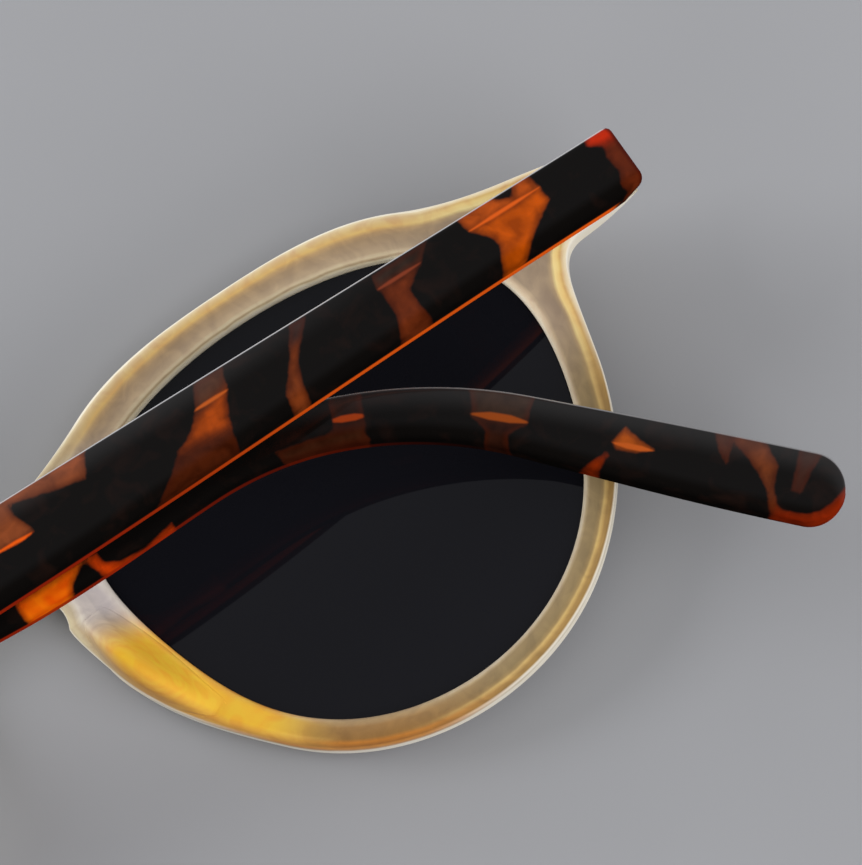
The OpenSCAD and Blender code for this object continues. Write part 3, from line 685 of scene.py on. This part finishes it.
# windows in the dark plastic: their tone, then their corners as distance along the arm and height
rust, dull, smoke = tone(104, 40, 12), tone(96, 44, 20), tone(52, 26, 16)
rightWindows = [
    (tone(176, 38, 8), [(-1, 3.8), (1.8, 3.8), (2.4, 2.4), (1.0, 1.7), (-1, 1.7)]),
    (tone(84, 31, 12), [(-1, 1.7), (1.0, 1.7), (1.5, 0.6), (1.3, -1.0), (1.9, -2.2), (1.1, -3.6),
                        (-1, -3.6)]),
    (tone(156, 66, 16), [(8.0, 3.8), (9.6, 3.8), (9.8, 2.9), (10.3, 2.1), (11.5, 2.7), (12.1, 3.8),
                         (15.6, 3.8), (15.2, 2.3), (14.9, 1.6), (8.0, 1.6)]),
    (tone(166, 68, 5), [(8.0, 1.6), (14.9, 1.6), (14.5, 1.0), (13.8, 0.0), (13.6, -0.9), (14.2, -2.2),
                        (14.8, -3.8), (15.4, -5.8), (13.6, -5.8), (12.6, -3.8), (11.3, -2.3),
                        (10.0, -1.3), (8.6, -0.4), (7.7, 0.2)]),
    (tone(42, 30, 24), [(18.5, 3.0), (24.3, 2.9), (24.4, 1.6), (20.2, 1.6)]),
    (tone(90, 36, 14), [(20.2, 1.6), (24.3, 1.6), (24.4, -1.2), (25.4, -4.0), (26.0, -5.8),
                        (21.8, -5.8), (21.9, -4.0), (22.2, -1.5), (22.2, 0.0), (20.8, 1.2)]),
    (tone(50, 32, 28), [(30.8, 3.1), (32.6, 3.1), (33.4, 1.4), (32.4, 1.4)]),
    (tone(104, 46, 18), [(32.6, 1.5), (33.4, 1.4), (34.8, -0.4), (36.1, -2.0), (36.6, -5.8),
                         (34.9, -5.8), (34.4, -2.1), (33.6, 0.0)]),
    (tone(72, 42, 28), [(39.2, 3.2), (42.2, 3.2), (43.4, 0.7), (40.1, 1.4)]),
    (tone(140, 56, 9), [(40.0, 1.4), (43.5, 0.6), (45.4, -0.8), (46.2, -1.2), (43.8, -1.4),
                        (41.6, -1.8)]),
    (tone(60, 22, 7), [(41.6, -1.8), (43.8, -1.4), (46.4, -1.3), (48.4, -2.9), (52.4, -5.8),
                       (42.2, -5.8)]),
    (tone(116, 57, 28), [(52.7, 3.9), (54.2, 1.2), (56.5, 1.7), (59.0, 2.4), (60.9, 2.9), (61.0, 2.0),
                         (60.3, 0.2), (60.2, -0.3), (61.4, -0.5), (63.6, -0.3), (66.4, 0.4),
                         (67.6, 2.2), (68.2, 3.9)]),
    (rust, [(69.5, -5), (71.0, -2.2), (73.4, -0.8), (75.8, -1.6), (76.2, -3.0), (78.0, -5)]),
    (tone(150, 60, 12), [(79.5, 4.5), (80.6, 1.8), (79.4, -0.2), (81.6, -1.4), (83.4, 0.4), (84.2, 2.2),
                         (86.6, 4.5)]),
    (dull, [(88.8, -4.5), (89.8, -1.6), (92.2, -0.6), (92.8, -2.4), (92.2, -4.5)]),
    (tone(132, 54, 14), [(95.6, 3.6), (97.0, 1.0), (99.2, -0.8), (100.8, -3.4), (103.4, -3.4),
                         (102.2, -0.4), (101.4, 1.8), (102.0, 3.6)]),
    (smoke, [(107.6, 3.4), (108.8, 0.6), (111.4, 0.2), (112.0, 3.4)]),
    (rust, [(114.6, -3.6), (115.4, -0.8), (118.6, 0.6), (119.8, -1.2), (118.8, -3.6)]),
    (tone(144, 58, 14), [(123.4, 3.4), (124.0, 0.8), (126.2, -0.6), (128.0, 0.4), (127.4, 3.4)]),
    (dull, [(131.0, -3.8), (132.6, -1.2), (135.4, 0.4), (137.6, -0.6), (136.4, -3.8)]),
    (tone(120, 48, 14), [(140.6, 3.4), (141.4, 1.0), (143.2, -0.8), (144.6, -2.8), (146.4, -2.2),
                         (145.0, 0.4), (144.4, 3.4)]),
    (tone(140, 40, 8), [(144.4, -4), (146.6, -2.7), (148.6, -1.8), (149.6, 0.2), (151, 0.2),
                        (151, -4)]),
]
leftWindows = [
    (tone(128, 36, 12), [(-1, 3.8), (1.2, 3.8), (1.7, 1.6), (0.9, -0.4), (1.7, -2.0), (1.0, -3.6),
                         (-1, -3.6)]),
    (tone(140, 56, 12), [(5.4, 3.8), (6.2, 1.2), (8.6, -0.8), (9.4, -3.8), (12.4, -3.8), (11.6, -1.0),
                         (12.6, 1.6), (12.0, 3.8)]),
    (dull, [(16.8, -3.8), (18.4, -1.2), (21.0, -0.2), (22.2, -2.0), (21.6, -3.8)]),
    (tone(120, 50, 16), [(24.6, 3.8), (25.8, 1.4), (28.8, 0.4), (30.2, 2.2), (31.4, 3.8)]),
    (rust, [(33.4, -4.2), (34.0, -1.8), (36.6, 0.6), (38.2, 3.9), (41.0, 3.9), (39.6, 0.4),
            (38.2, -1.8), (38.6, -4.2)]),
    (tone(150, 62, 14), [(46.2, 3.9), (47.4, 1.0), (50.0, -0.6), (52.6, 0.8), (52.0, 3.9)]),
    (smoke, [(54.4, -4.6), (55.6, -1.8), (58.4, -1.0), (59.8, -2.8), (59.2, -4.6)]),
    (dull, [(61.6, 4.0), (62.4, 1.4), (65.2, 0.2), (67.4, 1.6), (68.0, 4.0)]),
    # this window's tone is set brighter as painted light, to make up for the shade the right arm casts on it
    (tone(232, 100, 8), [(73.5, -2.5), (80.4, -2.0), (78.7, -3.4), (77.5, -5.6), (73.6, -5.6)]),
    (tone(186, 56, 6), [(80.6, -2.0), (81.7, -2.0), (81.9, -3.0), (83.2, -3.7), (85.5, -3.7),
                        (88.6, -2.9), (88.6, -5.8), (81.6, -5.8), (81.1, -3.6)]),
    (tone(50, 24, 12), [(99.6, -1.2), (107.6, -0.7), (107.9, -2.0), (100.2, -2.3)]),
    (tone(62, 20, 8), [(100.2, -2.3), (107.9, -2.0), (107.6, -5.4), (101.2, -5.4)]),
    (tone(38, 18, 10), [(105.0, 2.9), (107.8, 2.9), (107.8, -0.7), (105.2, -0.7)]),
    (tone(45, 29, 20), [(116.6, 3.0), (122.2, 3.0), (121.9, 0.0), (117.3, 0.0)]),
    (tone(38, 17, 10), [(117.3, 0.0), (121.8, 0.0), (120.6, -1.2), (121.4, -5.4), (118.3, -5.4),
                        (118.6, -1.2)]),
    (tone(150, 68, 16), [(130.3, 1.6), (131.7, 0.8), (133.2, 0.1), (131.6, -0.5), (130.0, -0.5),
                         (129.5, 0.1)]),
    (tone(124, 36, 5), [(129.2, -0.9), (129.4, -1.2), (128.9, -3.0), (128.2, -5.5), (125.9, -5.5),
                        (126.9, -3.6), (128.0, -2.2)]),
    (tone(63, 32, 20), [(137.6, 3.4), (139.4, 3.4), (139.5, 0.1), (138.6, 1.1)]),
    (tone(90, 42, 18), [(139.4, 3.4), (141.8, 3.4), (143.7, 1.1), (143.8, -0.9), (144.5, -2.9),
                        (143.9, -2.9), (143.2, -1.2), (142.2, 0.0), (140.9, 1.3), (139.9, 2.1)]),
    (tone(48, 26, 19), [(145.2, 3.4), (147.4, 3.4), (146.6, 1.0), (146.1, -1.0), (145.3, -0.9)]),
    (tone(128, 34, 7), [(143.8, -3.8), (144.3, -2.6), (145.2, -2.75), (147.0, -2.6), (148.2, -2.0),
                        (148.9, -1.2), (149.6, 0.4), (151, 0.4), (151, -4), (143.8, -4)]),
]
# bright threads where the light bends inside a window: from, to, height, half width, tone
threads = dict(
    right=[(8.3, 15.0, 1.6, 0.13, tone(206, 86, 22)), (20.2, 24.8, 1.55, 0.12, tone(120, 52, 30)),
           (39.8, 43.6, 1.15, 0.12, tone(176, 82, 28)), (60.0, 66.0, -0.35, 0.2, tone(220, 84, 10))],
    left=[(104.7, 108.3, 0.2, 0.26, tone(158, 58, 10)), (116.9, 122.3, 0.2, 0.3, tone(134, 60, 15)),
          (129.5, 133.4, 0.0, 0.2, tone(172, 78, 24))])
# the windows' first place on the arm, their slant through its thickness, how softly two of them meet
patternSetup = dict(start=0.25, slant=0.27, blend=0.3)


def windowValues(places, windows):  # how deep each point lies in the windows, and their tone there
    s, v, w = places.T
    blend = patternSetup["blend"]
    flat = np.stack([s - patternSetup["start"], v - patternSetup["slant"] * (thick - w)], 1)
    total, shade = np.full(len(flat), 1e-9), np.zeros((len(flat), 3))
    for colour, corners in windows:
        line = np.array(corners, float)
        low, high = line[:, 0].min() - 3, line[:, 0].max() + 3  # a window tints no further than 3 mm
        near = (flat[:, 0] > low) & (flat[:, 0] < high)
        p = flat[near]
        inside = np.zeros(len(p), bool)
        for a, b in zip(line, np.roll(line, -1, 0)):
            if a[1] != b[1]:
                crossing = (a[1] > p[:, 1]) != (b[1] > p[:, 1])
                inside ^= crossing & (p[:, 0] < (b[0] - a[0]) * (p[:, 1] - a[1]) / (b[1] - a[1]) + a[0])
        weight = np.exp(distanceTo(p, line) * np.where(inside, 1, -1) / blend)
        total[near] += weight
        shade[near] += weight[:, None] * np.array(colour)
    return np.log(total) * blend, shade / total[:, None]


# in mm: the window's ragged border, its softness and rim, then where each line and fade lies on the arm,
# among them the orange lower-edge line (partly painted glow), the painted top-edge highlight and the painted
# sheen
tortoiseLook = dict(
    dark=tone(13, 11, 10), brown=tone(26, 16, 13), bodySize=0.4, roughness=0.1, specular=0.14,
    ragged=0.3, raggedSize=1.1, soft=0.15, rim=tone(58, 20, 8), rimWidth=0.7, rimShare=0.6,
    mottle=[(0.34, (0.16, 0.14, 0.13)), (0.5, (0.5, 0.5, 0.5)), (0.66, (0.84, 0.83, 0.8))],
    mottleSize=0.55, mottleShare=0.45,
    edge=tone(240, 96, 22), lowEdge=tone(150, 36, 12), edgeBand=(0.5, 0.8), edgeDepth=(1.4, 1.8),
    edgeStart=(1.5, 4.0), edgeTurn=(25, 58), edgeEnd=(62.0, 124.0),
    end=tone(66, 15, 6), endBand=(0.1, 0.55), endShare=0.85,
    topEdgeHighlight=tone(222, 221, 224), topHighlightShare=dict(right=0.85, left=0.4), topHighlightBand=(0.12, 0.3),
    sheen=0.022, sheenBand=(0.2, 2.6), sheenStart=(15, 50), outside=(1.6, 2.6), matt=(0.6, 1.6))


def tortoisePlastic(side):
    look = tortoiseLook
    n = Nodes("tortoisePlastic" + side.capitalize())
    place = n.kept("armPlace", "Vector")
    s, v, w = n.split(place)[:3]
    topGap, lowGap = n.split(n.kept("armSides", "Vector"))[:2]
    bodyNoise = n.noise(place, look["bodySize"], 3.0, 0.5)
    body = n.ramp(bodyNoise, [(0.5, look["dark"]), (0.75, look["brown"])])
    wave = n.math("SUBTRACT", n.noise(place, look["raggedSize"], 2.0, 0.3), 0.5)
    inside = n.math("MULTIPLY_ADD", wave, look["ragged"], n.kept("windowDepth"))
    mottle = n.ramp(n.noise(place, look["mottleSize"], 2.5, 0.4), look["mottle"])
    window = n.mix(look["mottleShare"], n.kept("windowTone", "Vector"), mottle, "OVERLAY")
    window = n.mix(n.smooth(inside, 0.0, look["rimWidth"], look["rimShare"], 0.0), window, look["rim"])
    start = patternSetup["start"]
    for first, last, height, thin, shade in threads[side]:  # each tapers to both its ends
        fromStart, toEnd = n.math("SUBTRACT", s, first + start), n.math("SUBTRACT", last + start, s)
        taper = n.math("MINIMUM", fromStart, toEnd)
        taper = n.math("MINIMUM", n.math("MULTIPLY", taper, 3.0 * thin / (last - first)), thin)
        off = n.math("ABSOLUTE", n.math("SUBTRACT", v, height))
        window = n.mix(n.smooth(n.math("SUBTRACT", taper, off), -0.16, 0.08), window, shade)
    colour = n.mix(n.smooth(inside, -look["soft"], look["soft"]), body, window)
    # the orange line on the lower rounded edge, dimmer red further on: partly the plastic's own orange edge,
    # partly painted glow of light through it
    glow = n.math("MULTIPLY", n.smooth(lowGap, *look["edgeBand"], 1.0, 0.0),
                  n.smooth(w, *look["edgeDepth"], 1.0, 0.0))
    fade = n.math("MULTIPLY", n.smooth(s, *look["edgeStart"]), n.smooth(s, *look["edgeEnd"], 1.0, 0.0))
    edge = n.mix(n.smooth(s, *look["edgeTurn"]), look["edge"], look["lowEdge"])
    colour = n.mix(n.math("MULTIPLY", glow, fade), colour, edge)
    colour = n.mix(n.smooth(s, *look["endBand"], look["endShare"], 0.0), colour, look["end"])
    # on the outer face: a painted sheen fading down from the top edge, and a painted highlight along the top
    # edge
    outside = n.smooth(w, *look["outside"])
    sheen = n.math("MULTIPLY", n.smooth(topGap, *look["sheenBand"], look["sheen"], 0.0),
                   n.math("MULTIPLY", outside, n.smooth(s, *look["sheenStart"])))
    topEdgeHighlight = n.math("MULTIPLY", n.smooth(topGap, *look["topHighlightBand"], look["topHighlightShare"][side], 0.0), outside)
    colour = n.mix(n.math("MAXIMUM", sheen, topEdgeHighlight), colour, look["topEdgeHighlight"])
    gloss = n.smooth(lowGap, *look["matt"], 0.0, look["specular"])
    return n.shade(Base_Color=colour, Roughness=look["roughness"], Specular_IOR_Level=gloss)


armPoints, armPlace, armSides, armFaces = armMesh()
for side, windows, angle in (("right", rightWindows, ash["restRight"]),
                             ("left", leftWindows, ash["restLeft"])):
    arm = makeMesh(side + "Arm", folded(armPoints, angle), armFaces, side + "_arm", side + "_temple",
                   mirrored=side == "left")
    depth, shade = windowValues(armPlace, windows)
    for name, values in (("armPlace", armPlace), ("armSides", armSides), ("windowDepth", depth),
                         ("windowTone", shade)):
        keep(arm.data, name, values)
    arm.data.set_sharp_from_angle(angle=math.radians(ash["sharp"]))
    arm.data.materials.append(tortoisePlastic(side))


# hinges and screws keep their solids and get a satin metal
print("hinges")
metalLook = dict(light=tone(206, 203, 196), dark=tone(150, 146, 138), grain=(900, 90, 900),
                 plateRoughness=0.3, screwRoughness=0.22)


def hingeMetal(name, roughness):
    look = metalLook
    n = Nodes(name)
    grain = n.noise(n.add("Mapping", [n.place(), None, None, look["grain"]]).outputs[0], 1.0, 3.0)
    colour = n.ramp(grain, [(0.3, look["dark"]), (0.7, look["light"])])
    return n.shade(Base_Color=colour, Metallic=1.0, Roughness=roughness)


hingeSteel = hingeMetal("hingeSteel", metalLook["plateRoughness"])
screwSteel = hingeMetal("screwSteel", metalLook["screwRoughness"])
for side in ("right", "left"):
    for node, metal in (("_front_hinge", hingeSteel), ("_temple_hinge", hingeSteel),
                        ("_hinge_screw", screwSteel)):
        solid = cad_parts[side + node]
        solid.data.materials.clear()
        solid.data.materials.append(metal)


print("stage")
stageSetup = dict(floorRadius=2.5, floorTone=tone(154, 155, 159), floorRoughness=0.85, cloudSize=14,
                  cloud=0.05, backdrop=tone(160, 161, 165), roomTone=(1, 0.99, 0.98), roomLight=0.45)


def stageMaterial():
    ss = stageSetup
    n = Nodes("floorPaint")
    pale, deep = [tuple(c * part for c in ss["floorTone"]) for part in (1 + ss["cloud"], 1 - ss["cloud"])]
    colour = n.ramp(n.noise(n.place(), ss["cloudSize"], 3.0), [(0.3, deep), (0.7, pale)])
    return n.shade(Base_Color=colour, Roughness=ss["floorRoughness"], Specular_IOR_Level=0.2)


bpy.ops.mesh.primitive_circle_add(vertices=96, radius=stageSetup["floorRadius"], fill_type="NGON")
floor = bpy.context.object
floor.name = "floor"
floor.data.materials.append(stageMaterial())


def softRoom():  # an even soft light, and a plain backdrop for the camera and for reflections
    ss = stageSetup
    world = bpy.data.worlds.new("softRoom")
    bpy.context.scene.world = world
    world.use_nodes = True
    tree = world.node_tree
    tree.nodes.clear()
    put, link = tree.nodes.new, tree.links.new
    room, wall, both = put("ShaderNodeBackground"), put("ShaderNodeBackground"), put("ShaderNodeMixShader")
    room.inputs[0].default_value = (*ss["roomTone"], 1)
    room.inputs[1].default_value = ss["roomLight"]
    wall.inputs[0].default_value = (*ss["backdrop"], 1)
    rays = put("ShaderNodeLightPath")
    seen = rays.outputs["Is Camera Ray"]
    for kind in ("Is Glossy Ray", "Is Transmission Ray"):
        either = put("ShaderNodeMath")
        either.operation = "MAXIMUM"
        link(seen, either.inputs[0])
        link(rays.outputs[kind], either.inputs[1])
        seen = either.outputs[0]
    link(seen, both.inputs[0])
    link(room.outputs[0], both.inputs[1])
    link(wall.outputs[0], both.inputs[2])
    link(both.outputs[0], put("ShaderNodeOutputWorld").inputs[0])


softRoom()

print("light and camera")
lampSetup = dict(key=dict(place=(-0.6, 0.75, 0.5), size=0.8, power=9.0),
                 fill=dict(place=(0.5, -0.65, 0.75), size=1.1, power=8.5))
for name, lamp in lampSetup.items():
    light = bpy.data.lights.new(name, "AREA")
    light.shape, light.size, light.energy = "DISK", lamp["size"], lamp["power"]
    obj = bpy.data.objects.new(name, light)
    obj.location = lamp["place"]
    obj.rotation_euler = (-Vector(lamp["place"])).to_track_quat("-Z", "Y").to_euler()
    obj.visible_glossy = False  # dark lenses and hinge plates don't mirror the lamps
    bpy.context.scene.collection.objects.link(obj)

# degrees and mm; the anchor is a point of the part, and its pixel is where the photo has it
cameraSetup = dict(tilt=15.07, side=-1.52, roll=31.49, focal=151.35, sensor=36.0, picture=(862, 865),
                   anchor=(35.0, 1.7, 3.24), anchorPixel=(365.7, 494.8), distance=325.9)


def placeCamera():
    cs = cameraSetup
    a, b, c = (math.radians(cs[k]) for k in ("tilt", "side", "roll"))
    back = Vector((math.sin(b), -math.sin(a) * math.cos(b), math.cos(a) * math.cos(b)))
    up = back.cross(Vector((1, 0, 0))).normalized()
    right = up.cross(back)
    right, up = right * math.cos(c) - up * math.sin(c), right * math.sin(c) + up * math.cos(c)
    focalPixels = cs["focal"] / cs["sensor"] * max(cs["picture"])
    dx = (cs["anchorPixel"][0] - cs["picture"][0] / 2) * cs["distance"] / focalPixels
    dy = (cs["picture"][1] / 2 - cs["anchorPixel"][1]) * cs["distance"] / focalPixels
    spot = Vector(cs["anchor"]) - dx * right - dy * up + cs["distance"] * back
    lens = bpy.data.cameras.new("camera")
    lens.sensor_width, lens.lens, lens.clip_start = cs["sensor"], cs["focal"], 0.01
    camera = bpy.data.objects.new("camera", lens)
    camera.matrix_world = Matrix.Translation(spot * mm) @ Matrix((right, up, back)).transposed().to_4x4()
    bpy.context.scene.collection.objects.link(camera)
    bpy.context.scene.camera = camera


placeCamera()
bpy.context.scene.view_settings.view_transform = "Standard"

print("done")
